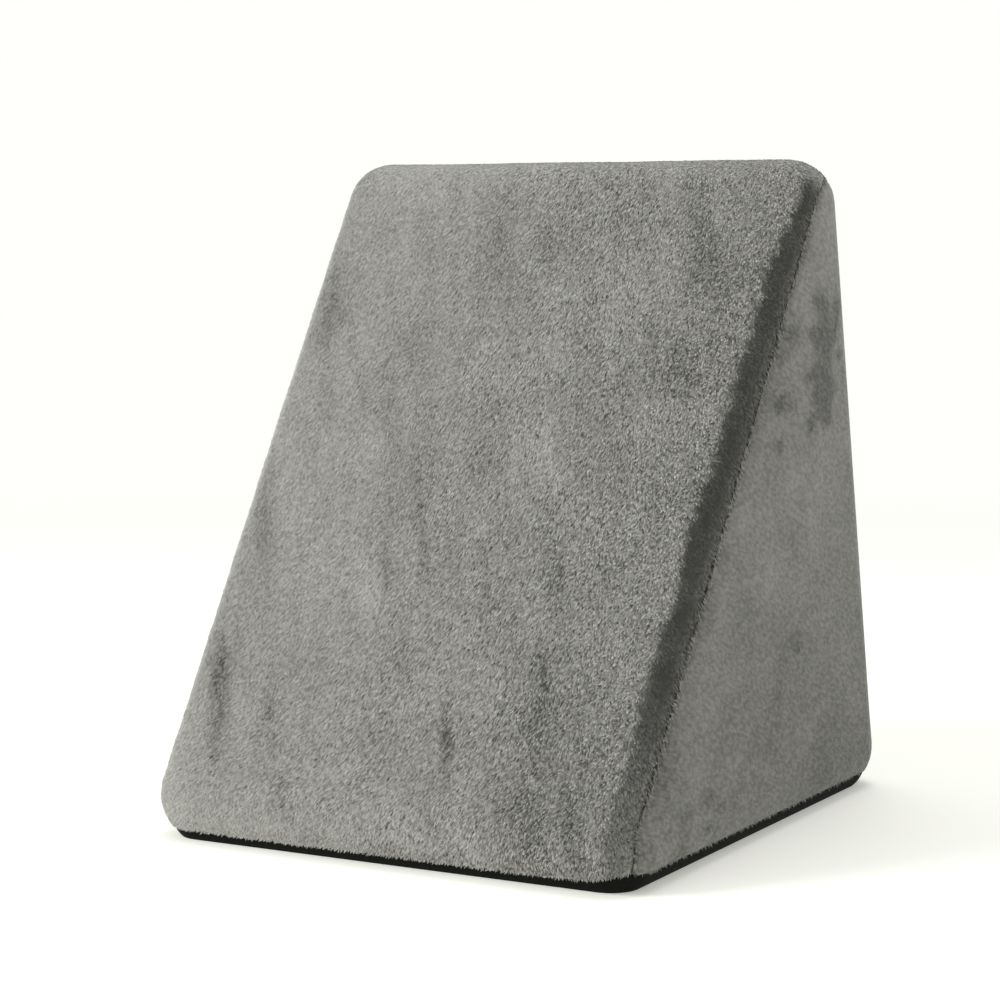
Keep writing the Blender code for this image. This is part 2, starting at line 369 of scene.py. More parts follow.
def soft_noise(u, v, seed):
    """Smooth random numbers from -1 to 1, one bump for each unit of u and v."""
    table = np.random.default_rng(seed).uniform(-1, 1, (LATTICE, LATTICE))
    cell_u, cell_v = np.floor(u).astype(int), np.floor(v).astype(int)
    part_u, part_v = u - cell_u, v - cell_v
    part_u = part_u * part_u * (3 - 2 * part_u)
    part_v = part_v * part_v * (3 - 2 * part_v)
    corner = [[table[(cell_u + i) % LATTICE, (cell_v + j) % LATTICE] for j in (0, 1)] for i in (0, 1)]
    near = corner[0][0] * (1 - part_v) + corner[0][1] * part_v
    far = corner[1][0] * (1 - part_v) + corner[1][1] * part_v
    return near * (1 - part_u) + far * part_u


def cloudy(u, v, seed, layers=3):
    """Soft noise with finer and weaker layers over it."""
    total = sum(soft_noise(u * 2 ** i, v * 2 ** i, seed + i) / 2 ** i for i in range(layers))
    return total / (2 - 2 ** (1 - layers))


print("noise ranges over", round(float(cloudy(np.linspace(0, 40, 999), np.zeros(999), 1).max()), 2))

# %% [markdown]
# A mesh made from arrays of points needs three steps: the points and faces, a material, and the
# numbers that the material reads at each point. One helper does them for every piece.

# %% Turn arrays into pieces


def keep_flat_places(mesh, flat):
    """Stores where each point lies on the cut cloth, as a map that spans from 0 to 1."""
    flat = np.reshape(flat, (-1, 2))
    flat = (flat - flat.min(axis=0)) / np.ptp(flat, axis=0)
    point = np.empty(len(mesh.loops), dtype=np.int32)
    mesh.loops.foreach_get("vertex_index", point)
    layer = mesh.uv_layers.new(name="OFBake")
    layer.uv.foreach_set("vector", flat[point].astype(np.float32).ravel())


def make_piece(name, points, faces, material, readings, flat):
    """A smooth-shaded mesh object, with a named number at each point for its material."""
    mesh = bpy.data.meshes.new(name)
    mesh.from_pydata(np.reshape(points, (-1, 3)).tolist(), [], faces)
    mesh.materials.append(material)
    for label, values in readings.items():
        layer = mesh.attributes.new(label, "FLOAT", "POINT")
        layer.data.foreach_set("value", np.ascontiguousarray(values, dtype=np.float32).ravel())
    keep_flat_places(mesh, flat)
    mesh.shade_smooth()
    mesh.validate()
    piece = bpy.data.objects.new(name, mesh)
    scene.collection.objects.link(piece)
    return piece


def grid_faces(rows, columns, start=0):
    """The quads between the points of a grid, row by row."""
    corner = start + np.arange(rows - 1)[:, None] * columns + np.arange(columns - 1)[None, :]
    faces = np.stack([corner, corner + 1, corner + columns + 1, corner + columns], axis=-1)
    return faces.reshape(-1, 4).tolist()


# %% [markdown]
# The plush is a knitted cloth with a short dense pile. Its colour is grey, but what the eye sees
# is how the pile lies and how the light falls on it: a painted highlight where the tips face the
# light, dark where it is stroked the other way, and painted shade where it turns round an edge
# away from the light. The material mixes a root colour and a tip colour by the numbers that the
# meshes carry, and a noise group adds flecks that are finer than any face.

# %% Make the fleck group


def new_group(name, inputs, outputs):
    """An empty node group with number or vector inputs and outputs, given as name and kind."""
    group = bpy.data.node_groups.new(name, "ShaderNodeTree")
    for side, sockets in (("INPUT", inputs), ("OUTPUT", outputs)):
        for label, kind in sockets:
            group.interface.new_socket(label, in_out=side, socket_type=kind)
    return group, group.nodes.new("NodeGroupInput"), group.nodes.new("NodeGroupOutput")


def fleck_group():
    """Short flecks, drawn out along the lie of the pile."""
    number, vector = "NodeSocketFloat", "NodeSocketVector"
    group, given, result = new_group(
        "pile flecks",
        [("Place", vector), ("Turn", number), ("Flecks per Metre", number), ("Stretch", vector)],
        [("Fleck", number), ("Cloud", number)])
    rotated = add_node(group, "ShaderNodeVectorRotate", rotation_type="X_AXIS")
    wire(group, given.outputs["Place"], rotated.inputs["Vector"])
    wire(group, given.outputs["Turn"], rotated.inputs["Angle"])
    drawn = add_node(group, "ShaderNodeVectorMath", operation="MULTIPLY")
    wire(group, rotated.outputs[0], drawn.inputs[0])
    wire(group, given.outputs["Stretch"], drawn.inputs[1])
    fine = add_node(group, "ShaderNodeTexNoise", noise_dimensions="3D")
    fine.inputs["Detail"].default_value = 2.0
    wire(group, drawn.outputs[0], fine.inputs["Vector"])
    wire(group, given.outputs["Flecks per Metre"], fine.inputs["Scale"])
    wide = add_node(group, "ShaderNodeTexNoise", noise_dimensions="3D")
    wide.inputs["Scale"].default_value = 14.0
    wide.inputs["Detail"].default_value = 4.0
    wire(group, given.outputs["Place"], wide.inputs["Vector"])
    wire(group, fine.outputs[0], result.inputs["Fleck"])
    wire(group, wide.outputs[0], result.inputs["Cloud"])
    return group


FLECKS = fleck_group()
print("group:", FLECKS.name, "with", len(FLECKS.nodes), "nodes")

# %% [markdown]
# The three cloths share one recipe: a rough shader with a little sheen, the flecks, and colours
# mixed by the numbers of the mesh. The darkness of the nap is taken off the light before a
# colour is chosen, so a stroked place turns toward the root colour, as real pile does.

# %% Make the cloth materials


def ramp(tree, value, low, high, low_to=0.0, high_to=1.0):
    """A number moved from one range to another and held inside it."""
    made = add_node(tree, "ShaderNodeMapRange", clamp=True)
    made.inputs["From Min"].default_value = low
    made.inputs["From Max"].default_value = high
    made.inputs["To Min"].default_value = low_to
    made.inputs["To Max"].default_value = high_to
    wire(tree, value, made.inputs["Value"])
    return made.outputs[0]


def sums(tree, operation, first, second):
    """One sum of two numbers, each a socket or a plain number."""
    made = add_node(tree, "ShaderNodeMath", operation=operation)
    for socket, value in zip(made.inputs, (first, second)):
        if isinstance(value, (int, float)):
            socket.default_value = value
        else:
            wire(tree, value, socket)
    return made.outputs[0]


def blend_colours(tree, amount, low, high):
    made = add_node(tree, "ShaderNodeMix", data_type="RGBA")
    wire(tree, amount, made.inputs[0])
    for socket, colour in ((made.inputs[6], low), (made.inputs[7], high)):
        if isinstance(colour, tuple):
            socket.default_value = (*colour, 1.0)
        else:
            wire(tree, colour, socket)
    return made.outputs[2]


def reading(tree, label):
    return add_node(tree, "ShaderNodeAttribute", attribute_name=label).outputs["Fac"]


def cloth_material(name, roughness, sheen, sheen_roughness):
    """A cloth material with its tree, its shader and the flecks already placed in it."""
    made = bpy.data.materials.new(name)
    made.use_nodes = True
    tree = made.node_tree
    shader = tree.nodes["Principled BSDF"]
    shader.inputs["Roughness"].default_value = roughness
    shader.inputs["Specular IOR Level"].default_value = 0.15
    shader.inputs["Sheen Weight"].default_value = sheen
    shader.inputs["Sheen Roughness"].default_value = sheen_roughness
    shader.inputs["Sheen Tint"].default_value = (1.0, 1.0, 1.0, 1.0)
    flecks = add_node(tree, "ShaderNodeGroup", node_tree=FLECKS)
    place = add_node(tree, "ShaderNodeTexCoord")
    wire(tree, place.outputs["Object"], flecks.inputs["Place"])
    return made, tree, shader, flecks


def add_bump(tree, shader, height, depth):
    bump = add_node(tree, "ShaderNodeBump")
    bump.inputs["Strength"].default_value = 1.0
    bump.inputs["Distance"].default_value = depth
    wire(tree, height, bump.inputs["Height"])
    wire(tree, bump.outputs[0], shader.inputs["Normal"])


ROOT_GREY = (0.062, 0.063, 0.058)
PILE_GREY = (0.300, 0.296, 0.280)
TIP_GREY = (0.52, 0.515, 0.492)
TURNED_SHADE_GREY = (0.044, 0.046, 0.041)
SEAM_SHADE_GREY = (0.014, 0.015, 0.012)


def plush_material():
    made, tree, shader, flecks = cloth_material("grey plush", 0.95, 0.5, 0.35)
    flecks.inputs["Flecks per Metre"].default_value = 620
    flecks.inputs["Stretch"].default_value = (1.0, 0.6, 0.45)
    fleck = ramp(tree, flecks.outputs["Fleck"], 0.36, 0.64, -0.16, 0.16)
    cloud = ramp(tree, flecks.outputs["Cloud"], 0.3, 0.7, -0.05, 0.05)
    light = sums(tree, "ADD", reading(tree, "tone"), fleck)
    light = sums(tree, "ADD", light, cloud)
    # The nap also carries painted shade that grows toward the right of the slope.
    light = sums(tree, "SUBTRACT", light, reading(tree, "nap"))
    dark = ramp(tree, light, 0.0, 0.5)
    pale = ramp(tree, light, 0.5, 1.0)
    colour = blend_colours(tree, dark, ROOT_GREY, PILE_GREY)
    colour = blend_colours(tree, pale, colour, TIP_GREY)
    # Painted shade: past the right crest the pile faces away from the key lamp and turns nearly black.
    colour = blend_colours(tree, reading(tree, "turned"), colour, TURNED_SHADE_GREY)
    # Painted shade in the groove of the seam.
    colour = blend_colours(tree, reading(tree, "seam"), colour, SEAM_SHADE_GREY)
    wire(tree, colour, shader.inputs["Base Color"])
    add_bump(tree, shader, flecks.outputs["Fleck"], 0.0006)
    return made


VELOUR_LIGHT = (0.330, 0.323, 0.306)
VELOUR_DARK = (0.052, 0.052, 0.047)


def velour_material():
    made, tree, shader, flecks = cloth_material("grey velour", 0.92, 0.25, 0.5)
    flecks.inputs["Flecks per Metre"].default_value = 420
    flecks.inputs["Turn"].default_value = 0.35
    flecks.inputs["Stretch"].default_value = (1.0, 0.42, 0.95)
    fleck = ramp(tree, flecks.outputs["Fleck"], 0.34, 0.66, -0.17, 0.17)
    cloud = ramp(tree, flecks.outputs["Cloud"], 0.32, 0.68, -0.09, 0.09)
    light = sums(tree, "ADD", fleck, cloud)
    light = sums(tree, "ADD", light, reading(tree, "tone"))
    light = sums(tree, "SUBTRACT", light, reading(tree, "nap"))
    colour = blend_colours(tree, ramp(tree, light, 0.0, 1.0), VELOUR_DARK, VELOUR_LIGHT)
    # Painted shade in the groove of the seam, on the velour side.
    colour = blend_colours(tree, reading(tree, "seam"), colour, SEAM_SHADE_GREY)
    wire(tree, colour, shader.inputs["Base Color"])
    add_bump(tree, shader, flecks.outputs["Fleck"], 0.00025)
    return made


def base_material():
    made, tree, shader, flecks = cloth_material("black base cloth", 0.9, 0.0, 0.4)
    flecks.inputs["Flecks per Metre"].default_value = 900
    flecks.inputs["Stretch"].default_value = (1.0, 1.0, 1.0)
    colour = blend_colours(tree, ramp(tree, flecks.outputs["Fleck"], 0.3, 0.7),
                           (0.0015, 0.0022, 0.0012), (0.006, 0.0075, 0.005))
    wire(tree, colour, shader.inputs["Base Color"])
    add_bump(tree, shader, flecks.outputs["Fleck"], 0.0003)
    return made


PLUSH = plush_material()
VELOUR = velour_material()
BASE_CLOTH = base_material()
print("materials:", PLUSH.name, VELOUR.name, BASE_CLOTH.name)

# %% [markdown]
# The nap of the slope is not even: hands and packing have stroked it into dark strips that run
# straight down. A few marks that show at once are listed, to the nearest centimetre, and
# chance lays the others, pale and dark. A soft noise breaks their edges.

# %% Stroke the nap
# Columns: along the panel, across, half length and half width in metres, then darkness
MARKS = [
    (0.22, -0.05, 0.02, 0.004, 0.20),
    (0.23, -0.02, 0.03, 0.005, 0.20),
    (0.09, 0.04, 0.03, 0.005, 0.30),
    (0.10, -0.11, 0.03, 0.006, 0.20),
    (0.04, -0.08, 0.02, 0.006, 0.20),
    (0.04, 0.15, 0.03, 0.010, 0.20),
    (0.14, -0.17, 0.04, 0.008, 0.10),
    (0.25, -0.17, 0.03, 0.008, 0.20),
    (0.44, -0.17, 0.04, 0.008, 0.15),
    (0.15, 0.10, 0.02, 0.004, 0.15),
    (0.30, 0.00, 0.03, 0.012, 0.12),
    (0.50, 0.00, 0.03, 0.010, 0.12),
    (0.47, 0.16, 0.05, 0.020, 0.12),
]
HAND_WIDTH = 0.022


def chance_strokes(count, seed):
    """Rows like those of the marks, pale and dark, for strokes whose place doesn't matter."""
    chance = np.random.default_rng(seed)
    return np.column_stack([
        chance.uniform(0, SLOPE_END, count),
        chance.uniform(-0.19, 0.19, count),
        chance.uniform(0.02, 0.05, count),
        chance.uniform(0.25, 1, count) * HAND_WIDTH,
        chance.normal(0.01, 0.07, count),
    ]).tolist()


STROKES = MARKS + chance_strokes(44, 41)
STROKE_SLANT = 0.32

# The slope is painted darker toward the right, as shade away from the key lamp, and its tufts lean to the
# side most at the foot
NAP_MIDDLE = -0.06
SHADE_TO_RIGHT = 0.08
LEAN_HEIGHTS = (0, 0.10, 0.30)
LEANS = (0.6, 0.3, 0.1)
LEAN_TO_RIGHT = -0.15


def to_right(across):
    """-1 near the left edge of the slope, 1 near the right edge."""
    return (across / 0.13).clip(-1, 1)


def nap_and_shade_of(along, across):
    """How dark the nap lies: painted shade growing to the right, fine clouds, and stroked strips."""
    upright = across + STROKE_SLANT * along
    dark = NAP_MIDDLE + SHADE_TO_RIGHT * to_right(across) + 0.09 * cloudy(along * 22, upright * 85, 13)
    for middle, side, half_length, half_width, darkness in STROKES:
        beside = upright - (side + STROKE_SLANT * middle)
        away = ((along - middle) / half_length) ** 2 + (beside / half_width) ** 2
        dark = dark + darkness * np.exp(-away) * (1 + 0.9 * cloudy(along * 60, upright * 240, 17))
    return dark


print("strokes on the slope:", len(STROKES))

# %% [markdown]
# Past the crest of the right edge the pile turns away from the light, and it is painted darkest
# there, as shade. On the left edge its tips face the light, and a painted highlight makes them
# palest. In the seam it is painted nearly black, as the shade in its groove, with a dimple at
# every stitch. Each of these is a number from 0 to 1 that the material reads.

# %% Paint shade and highlight at the edges
# How far round the right edge the crest lies, from the foot to past the top
CREST_PLACES = [SLOPE_START + share * SLOPE_RUN for share in (0, 0.2, 0.4, 0.6, 0.85, 1.0, 1.25)]
CREST_TILTS = np.radians([17, 17, 19, 25, 29, 38, 50])


def flat_at(along):
    """Half the width of the flat between the rounded edges, at a length along the plush."""
    return half_flat(np.interp(along, REACHED, BALL_Z))


def turned_shade_of(along, across):
    """Painted shade: 1 where the plush has turned past the right crest, away from the light, else 0."""
    tilt = (across - flat_at(along)) / ROUND
    ragged = 0.12 * cloudy(along * 170, across * 170, 23) + 0.09 * cloudy(along * 22, 0 * across, 29)
    turned = ((tilt - np.interp(along, CREST_PLACES, CREST_TILTS) - ragged) / 0.14).clip(0, 1)
    from_seam = seam_across(along) - across
    ridge = np.exp(-((from_seam - 0.0025) / 0.0050) ** 2)
    smears = 0.10 * cloudy(along * 90, across * 90, 25)
    over_top = ((along - SLOPE_END) / 0.036).clip(0, 1)
    above_foot = 0.32 + 0.68 * (along / 0.15).clip(0, 1)
    return (turned * (0.88 - 0.26 * ridge + smears) * (1 - over_top) * above_foot).clip(0, 0.95)


def rim_highlight_of(along, across):
    """A painted highlight: how much paler the tips are where they face the light on the left edge."""
    tilt = (-across - flat_at(along)) / ROUND
    return 0.35 * ((tilt - 0.55) / 0.5).clip(0, 1)


def seam_shade(along, from_seam):
    """Painted shade in the groove of the seam, with a dimple at every stitch."""
    stitch = 0.55 + 0.45 * np.cos(2 * math.pi * along / 0.0095 + 2 * cloudy(along * 40, 0 * along, 31))
    slow = (0.75 + 0.5 * cloudy(along * 16, 0 * along, 33)) * (0.4 + 0.6 * (along / 0.12).clip(0, 1))
    return stitch * slow * np.exp(-(from_seam / 0.0018) ** 2)


print("crest at half height:", round(math.degrees(float(CREST_TILTS[2]))), "degrees round the edge")

# %% [markdown]
# The cover itself is a fine grid laid over the skin: 2.5 mm squares, with slow waves of half a
# millimetre and a seam edge that turns in. Its open edges are closed behind the side panels and
# under the foot, so it is one filled form, as the foam and its cover are.

# %% Build the plush cover
COVER_ROWS = 440
COVER_COLUMNS = 150
LIP_DEPTHS = (0.0008, 0.0022, 0.0042)


def cover_waves(along, across):
    """Slow waves of the cover, and short puckers beside its seams."""
    from_seam = seam_across(along) - np.abs(across)
    pucker = np.exp(-(from_seam / 0.010) ** 2) * cloudy(along * 110, across * 20, 7)
    slow, fine = cloudy(along * 22, across * 22, 3), cloudy(along * 130, across * 200, 5)
    return 0.0005 * slow + 0.0002 * fine + 0.0005 * pucker


def groove(from_seam):
    """How far the cloth dips beside a seam, by the distance from it."""
    dip = 0.0016 * np.exp(-(from_seam / 0.0022) ** 2)
    ridge = 0.0005 * np.exp(-((from_seam - 0.0055) / 0.0025) ** 2)
    return ridge - dip


def build_cover():
    along = np.linspace(0, PANEL_LENGTH, COVER_ROWS)[:, None]
    share = np.linspace(-1, 1, COVER_COLUMNS)[None, :]
    edge = seam_across(along)
    across = share * edge
    lift = cover_waves(along, across) + groove(edge - np.abs(across))
    middle = skin(along, across, lift)
    left = [skin(along, -edge, -depth) for depth in LIP_DEPTHS[::-1]]
    right = [skin(along, edge, -depth) for depth in LIP_DEPTHS]
    points = np.concatenate([*left, middle, *right], axis=1)
    rows, columns = points.shape[:2]
    faces = grid_faces(rows, columns)
    last = (rows - 1) * columns
    faces.append(list(range(0, last + 1, columns)))
    faces.append(list(range(last + columns - 1, 0, -columns)))
    faces.append([*range(columns - 1, -1, -1), *range(last, last + columns)])
    wide = np.concatenate([-edge] * 3 + [across] + [edge] * 3, axis=1)
    long = np.broadcast_to(along, wide.shape)
    shade = seam_shade(long, seam_across(long) - np.abs(wide))
    return make_piece("plush_cover", points, faces, PLUSH, {
        "nap": nap_and_shade_of(long, wide),
        "turned": turned_shade_of(long, wide),
        # The cloth under the pile is painted darker than the tufts, as the shade between them.
        "tone": 0.32 + rim_highlight_of(long, wide),
        "seam": shade,
    }, np.stack([wide, long], axis=-1))


cover = build_cover()
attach(cover, "root")
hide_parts("cushion_body")
print("cover faces:", len(cover.data.polygons))

# %% [markdown]
# Pile is what makes plush look like plush. It lies mostly down the slope and a little to the
# left, it wanders slowly, and near the right crest it is rough and curls. Its tufts differ
# least on the left and most at that crest, where the light grazes them.

# %% Choose how the pile lies


def near_crest(along, across):
    """From 0 in the middle and on the left to 1 at the right crest, where the pile is roughest."""
    return ((across - flat_at(along) + 0.11) / 0.10).clip(0, 1)


def lie_of(along, across):
    """The direction that the pile lies in, as an angle from down the slope towards the left."""
    wander = 0.16 * cloudy(along * 16, across * 16, 41) + 0.10 * soft_noise(along * 90, across * 90, 43)
    curl = 0.55 * soft_noise(along * 130, across * 130, 45)
    lean = np.interp(along, LEAN_HEIGHTS, LEANS) + LEAN_TO_RIGHT * to_right(across)
    return lean + wander + curl * near_crest(along, across)


def contrast_of(along, across):
    """How much the tufts differ: little on the left, more in the middle, most at the crest."""
    right = ((across + 0.16) / 0.33).clip(0, 1)
    patches = 1 + 0.5 * cloudy(along * 18, (across + STROKE_SLANT * along) * 30, 47)
    return (0.07 + 0.17 * right) * patches


print("pile at the foot leans", round(math.degrees(LEANS[0])), "degrees to the side")

# %% [markdown]
# Each tuft is a small pointed roof of two faces that starts in the cloth and rises to a tip. It
# is laid out on the flat panel and then carried onto the skin, so it follows every curve.

# %% Shape the tufts
HEM_OVERHANG = 0.0038


def lay_tufts(name, along, across, turn, length, half, rise, tone, material, readings, lift,
              reach_past_seam):
    """Roof-shaped tufts at places of the skin, each with four points and two faces."""
    ahead_along, ahead_across = -np.cos(turn), -np.sin(turn)
    beside_along, beside_across = ahead_across, -ahead_along
    spots, places = [], []
    # Columns: share of the length, share of the half width, share of the rise
    for forward, sideways, up in ((0, 0, 0.0), (0.45, 1, 0.05), (1, 0, 1), (0.45, -1, 0.05)):
        spot_along = along + forward * length * ahead_along + sideways * half * beside_along
        spot_along = spot_along.clip(-HEM_OVERHANG * (rise / rise.max()), None)
        spot_across = across + forward * length * ahead_across + sideways * half * beside_across
        edge = seam_across(spot_along) + reach_past_seam
        spot_across = spot_across.clip(-edge, edge)
        spots.append(skin(spot_along, spot_across, lift + up * rise - 0.00005))
        places.append(np.stack([spot_across, spot_along], axis=-1))
    first = np.arange(along.size)[:, None] * 4
    faces = np.concatenate([first + [0, 1, 2], first + [0, 2, 3]], axis=0).tolist()
    # Each tuft is painted darker at its root, as the shade between tufts, and a little paler at its tip.
    tone = tone[:, None] + np.array([-0.22, 0.0, 0.12, 0.0])
    readings = {label: np.repeat(values[:, None], 4, axis=1) for label, values in readings.items()}
    tufts = make_piece(name, np.stack(spots, axis=1), faces, material,
                       {"tone": tone, **readings}, np.stack(places, axis=1))
    tufts.data.shade_flat()
    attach(tufts, "root")
    print(name, "tufts:", along.size)
    return tufts


# %% [markdown]
# Tens of thousands of tufts stand in rows with a little disorder: each has its own place, turn,
# length and shade. A tuft near the seam may reach over it, as loose pile does.

# %% Lay the pile

def lay_pile(name, start, end, step_along, step_across, long, wide, high, seed):
    """Tufts between two lengths along the panel, in a jittered grid with the given steps."""
    chance = np.random.default_rng(seed)
    half_panel = TOP_WIDTH / 2 + 0.01
    rows = int((end - start) / step_along)
    columns = int(2 * half_panel / step_across)
    along, share = np.meshgrid(np.arange(rows) + 0.5, np.arange(columns) + 0.5, indexing="ij")
    count = along.size
    along = start + (along.ravel() + chance.uniform(-0.5, 0.5, count)) * (end - start) / rows
    across = ((share.ravel() + chance.uniform(-0.5, 0.5, count)) / columns * 2 - 1) * half_panel
    keep = np.abs(across) < seam_across(along) - 0.0018
    along, across = along[keep], across[keep]
    count = along.size
    rough = near_crest(along, across)
    turned = turned_shade_of(along, across)
    turn = lie_of(along, across) + chance.normal(0, 1, count) * (0.10 + 0.26 * rough)
    turn = turn * (1 - turned) - 0.9 * turned
    length = long * chance.uniform(0.7, 1.3, count) * (1 - 0.25 * rough)
    half = wide / 2 * chance.uniform(0.75, 1.25, count)
    rise = high * chance.uniform(0.5, 1.4, count)
    chances = chance.normal(0, 1, count)
    contrast = contrast_of(along, across)
    on_top = np.exp(-((along - SLOPE_END - 0.040) / 0.024) ** 2)
    contrast = contrast * (1 - 0.5 * on_top)
    rise = rise * (1 - 0.65 * on_top)
    tone = 0.52 + 0.25 * contrast + contrast * np.where(chances < 0, 1.5, 0.8) * chances
    # A painted highlight makes the tufts paler along the top contour.
    tone = tone + rim_highlight_of(along, across) + 0.15 * on_top + 0.10 * (1 - along / 0.006).clip(0)
    lift = cover_waves(along, across) + groove(seam_across(along) - np.abs(across))
    pile = lay_tufts(name, along, across, turn, length, half, rise, tone.clip(0, 1.1), PLUSH,
                     {"nap": nap_and_shade_of(along, across), "turned": turned, "seam": np.zeros(count)}, lift,
                     np.where(chance.random(count) < 0.12, 0.0016, -0.0012))
    return pile


lay_pile("slope_pile", 0.0, SLOPE_END + 0.012, 0.0022, 0.0011, 0.0040, 0.0012, 0.0008, 101)
lay_pile("top_and_back_pile", SLOPE_END + 0.012, PANEL_LENGTH, 0.0028, 0.0014, 0.0046, 0.0016, 0.0009,
         102)

# %% [markdown]
# A side panel is a sheet of smooth velour, cut to the pillow's profile. It is built as the part
# that turns the rounded edge and the flat part inside it, welded together, with its edge turned
# in at the seam.

# %% Cut the side panels
LEG_STEPS = 200
TOP_STEPS = 10
TURN_STEPS = 14
FLAT_STEPS = 110
PANEL_THICKNESS = 0.0025
SIDE_BULGE = 0.003


def side_outline():
    """The edge of the side panel as a column of lengths along the plush, with its two legs."""
    front_part = np.linspace(0, SLOPE_END, LEG_STEPS)
    back_part = np.interp(front_part, [0, REACHED[1], REACHED[2], SLOPE_END],
                          [PANEL_LENGTH, REACHED[8], REACHED[7], BACK_START])
    round_front = np.linspace(SLOPE_END, TOP_START, TOP_STEPS + 1)[1:]
    over_top = np.linspace(TOP_START, TOP_END, TOP_STEPS + 1)[1:]
    round_back = np.linspace(TOP_END, BACK_START, TOP_STEPS + 1)[1:-1]
    along = np.concatenate([front_part, round_front, over_top, round_back, back_part[::-1]])[:, None]
    return along, front_part, back_part


def build_side(side):
    """The turned edge of a side panel and the flat inside it, as two grids of points."""
    along, front_part, back_part = side_outline()
    share = np.linspace(0, 1, TURN_STEPS + 1)[None, :]
    edge = seam_across(along)
    flat_edge = flat_at(along) + ROUND * math.pi / 2
    across = edge + (flat_edge - edge) * share
    lift = groove(across - edge) * (1 - share)
    lip = skin(along, side * edge, -0.0026)
    band = np.concatenate([lip, skin(along, side * across, lift)], axis=1)
    rows = []
    for front, back in zip(front_part, back_part):
        pair = np.array([front, back])
        ends = even_skin(pair, side * (flat_at(pair) + ROUND * math.pi / 2))
        way = np.linspace(0, 1, FLAT_STEPS + 1)[:, None]
        rows.append(ends[0] * (1 - way) + ends[1] * way)
    flat = np.array(rows)
    rise = ((flat[..., 2] - FOOT_CENTRE_Z) / (HEIGHT - ROUND - FOOT_CENTRE_Z)).clip(0, 1)
    flat[..., 0] += side * SIDE_BULGE * swell(rise) * swell(np.linspace(0, 1, FLAT_STEPS + 1))
    from_seam = np.concatenate([np.zeros_like(along), across - edge], axis=1)
    seam = np.concatenate([seam_shade(along, from_seam).ravel(), np.zeros(flat[..., 0].size)])
    return band, draw_up(flat), seam


print("seam of a side panel:", round(PANEL_LENGTH, 2), "m from hem to hem")

# %% [markdown]
# Velour shows every touch. The right panel has a few rubbed places, listed one by one, and chance
# scatters the dark wisps inside each of them. The left panel has only soft clouds.

# %% Rub the velour
# Columns: depth and height of the place, its reach in depth and height, strokes, darkness
RUBBED = [
    (0.08, 0.37, 0.030, 0.022, 22, 0.30),
    (0.07, 0.32, 0.024, 0.022, 18, 0.30),
    (0.00, 0.30, 0.006, 0.020, 4, 0.26),
    (0.01, 0.37, 0.020, 0.020, 7, 0.22),
    (-0.12, 0.03, 0.040, 0.020, 12, 0.14),
    (-0.14, 0.19, 0.014, 0.040, 8, 0.12),
    (0.05, 0.15, 0.050, 0.050, 8, 0.10),
]


def rub(seed):
    """Rows of depth, height, half depth, half height and darkness, scattered over the places."""
    chance = np.random.default_rng(seed)
    rows = []
    for depth, height, reach, reach_up, count, dark in RUBBED:
        for _ in range(count):
            y = depth + reach * chance.uniform(-1, 1)
            z = height + reach_up * chance.uniform(-1, 1)
            half = chance.uniform(0.004, 0.013)
            rows.append((y, z, half, half * chance.uniform(0.4, 0.9), dark))
    return rows


WISPS = rub(43)
MOST_STROKED = 0.42


def side_nap(side, depth, up):
    """How dark the velour is: fine clouds, darker towards the foot, and strokes on the right."""
    # The velour is made darker towards the foot, by height alone.
    dark = 0.09 * cloudy(depth * 30, up * 46, 61 - side) + 0.26 * (1 - up / HEIGHT)
    dark = dark + 0.07 * cloudy(depth * 90, up * 170, 65 - side)
    if side < 0:
        return dark + 0.08 * cloudy(depth * 12, up * 18, 67)
    swirl = 1.9 + 1.8 * cloudy(depth * 150, up * 150, 63)
    stroked = 0
    for y, z, half_y, half_z, darkness in WISPS:
        away = ((depth - y) / half_y) ** 2 + ((up - z) / half_z) ** 2
        stroked = stroked + darkness * np.exp(-away)
    return dark + MOST_STROKED * np.tanh(stroked * swirl / MOST_STROKED)


print("wisps on the right panel:", len(WISPS))

# %% [markdown]
# The two grids of a panel are welded into one sheet, and Solidify gives the open sheet its
# thickness, inward, so that its outer face stays where the solid's is.

# %% Sew in the side panels


def side_panel(name, side):
    band, flat, seam = build_side(side)
    points = np.concatenate([band.reshape(-1, 3), flat.reshape(-1, 3)])
    faces = grid_faces(*band.shape[:2]) + grid_faces(*flat.shape[:2], start=band.shape[0] * band.shape[1])
    panel = make_piece(name, points, faces, VELOUR, {
        "nap": side_nap(side, points[:, 1], points[:, 2]),
        "tone": np.full(len(points), 0.64),
        "seam": seam,
    }, points[:, 1:])
    work = bmesh.new()
    work.from_mesh(panel.data)
    bmesh.ops.remove_doubles(work, verts=work.verts, dist=0.0002)
    bmesh.ops.recalc_face_normals(work, faces=work.faces)
    work.faces.ensure_lookup_table()
    if work.faces[-1].normal.x * side < 0:
        bmesh.ops.reverse_faces(work, faces=work.faces)
    work.to_mesh(panel.data)
    work.free()
    shell = panel.modifiers.new("cloth thickness", "SOLIDIFY")
    shell.thickness = PANEL_THICKNESS
    shell.offset = -1
    return panel


for panel_name, panel_side in (("left", -1), ("right", 1)):
    panel = side_panel("side_velour_" + panel_name, panel_side)
    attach(panel, "root")
    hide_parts("side_panel_" + panel_name)
    print(panel.name, "faces:", len(panel.data.polygons))

# %% [markdown]
# Cut velour sheds short hairs at its edges. A row of small pale tufts crosses the seam towards
# the plush, and another hangs over the hem, so that neither edge is a clean line.

# %% Fray the velour's edges


